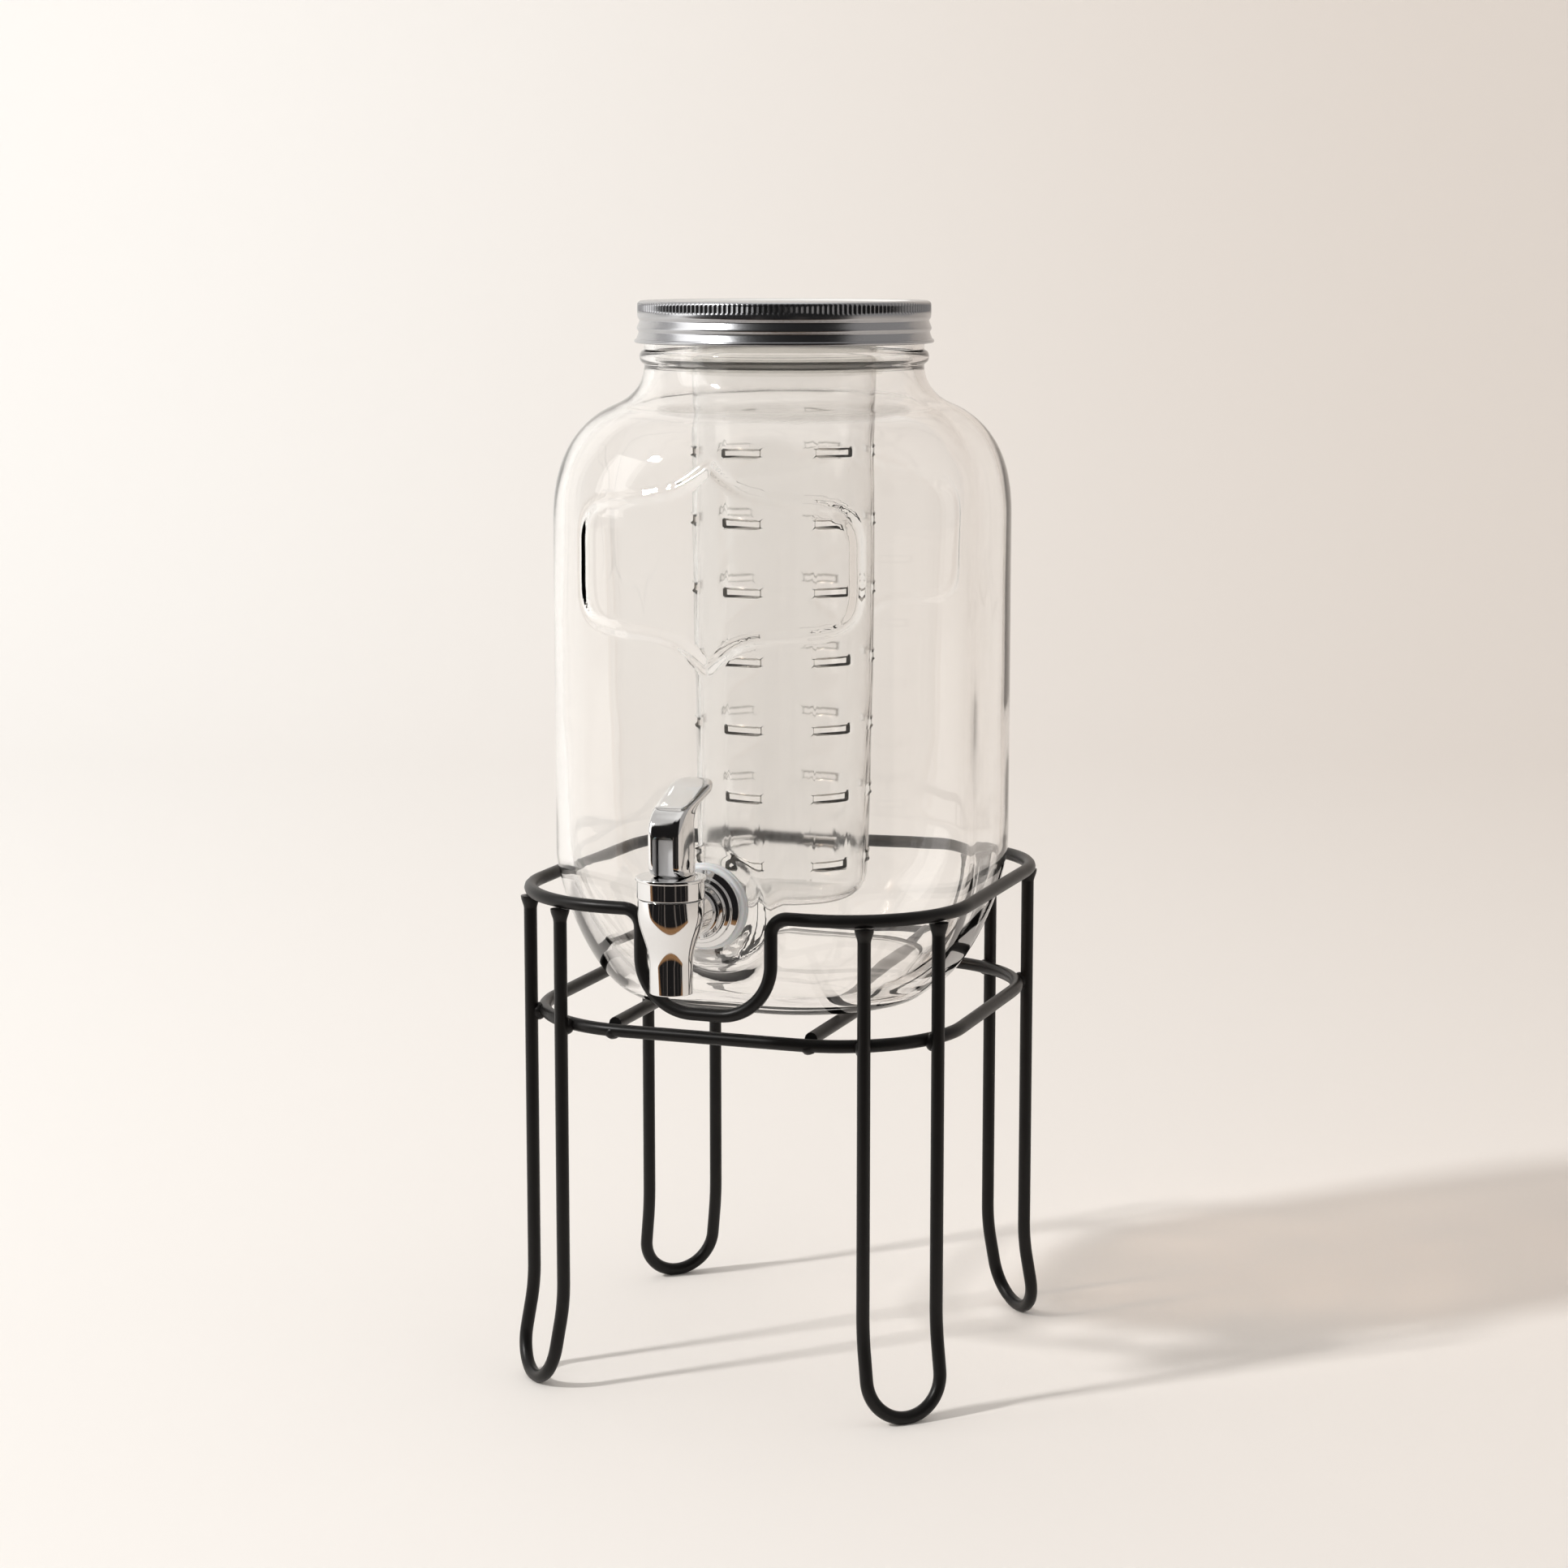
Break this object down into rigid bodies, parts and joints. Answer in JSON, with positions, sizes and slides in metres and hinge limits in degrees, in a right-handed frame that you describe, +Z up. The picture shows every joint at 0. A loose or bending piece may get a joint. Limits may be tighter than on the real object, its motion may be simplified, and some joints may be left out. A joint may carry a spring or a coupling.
{
  "type": "glass beverage dispenser",
  "caption": "Square-bodied glass jar with a screw lid, a slotted fruit infuser and a lever tap, standing on a black wire stand with hairpin legs.",
  "frame": {"origin": "under the middle of the whole object's box, on the floor that the feet stand on", "axes": "+Z up, the tap points towards -Y, +X to the right when the tap faces the viewer"},
  "size_m": [0.1756, 0.2194, 0.4069],
  "materials": {
    "black_wire": "satin powder coat",
    "clear_glass": "pressed, clear",
    "tinned_steel": "satin",
    "clear_plastic": "clear, moulded",
    "chrome": "mirror",
    "grey_plastic": "satin",
    "silicone": "matte, translucent",
    "spring_steel": "drawn wire"
  },
  "bodies": {
    "stand": {"top_ring": "black_wire", "lower_ring": "black_wire", "cross_bar_left": "black_wire", "cross_bar_right": "black_wire", "leg_front_left": "black_wire", "leg_front_right": "black_wire", "leg_back_left": "black_wire", "leg_back_right": "black_wire"},
    "jar": {"jar": "clear_glass", "tap_body": "chrome", "tap_bonnet": "chrome", "outer_washer": "silicone", "inner_washer": "silicone", "shank_nut": "grey_plastic", "closing_spring": "spring_steel"},
    "liner": {"lid_liner": "silicone"},
    "lid": {"lid_cap": "tinned_steel", "infuser_socket": "clear_plastic"},
    "infuser": {"infuser_tube": "clear_plastic"},
    "stem": {"valve_stem": "grey_plastic", "lever_pin": "spring_steel", "seat_cup": "silicone"},
    "lever": {"tap_lever": "chrome"}
  },
  "joints": [
    {"name": "jar_lift", "type": "slide", "parent": "stand", "child": "jar", "axis": [0, 0, 1], "range_m": [0, 0.12]},
    {"name": "lid_lift", "type": "slide", "parent": "jar", "child": "liner", "axis": [0, 0, 1], "range_m": [0, 0.24]},
    {"name": "lid_turn", "type": "hinge", "parent": "liner", "child": "lid", "pos_m": [0, 0.0219, 0.4], "axis": [0, 0, 1], "range_deg": [0, 450]},
    {"name": "infuser_turn", "type": "hinge", "parent": "lid", "child": "infuser", "pos_m": [0, 0.0219, 0.39], "axis": [0, 0, -1], "range_deg": [0, 540]},
    {"name": "stem_lift", "type": "slide", "parent": "jar", "child": "stem", "axis": [0, 0, 1], "range_m": [0, 0.003], "stiffness_N_per_m": 1200, "springref_m": -0.002, "deforming": ["closing_spring"]},
    {"name": "lever_tilt", "type": "hinge", "parent": "stem", "child": "lever", "pos_m": [0, -0.0971, 0.2115], "axis": [1, 0, 0], "range_deg": [0, 60]}
  ],
  "couplings": [
    {"joint": "lever_tilt", "follows": "stem_lift", "rad_per_m": 344.8}
  ]
}
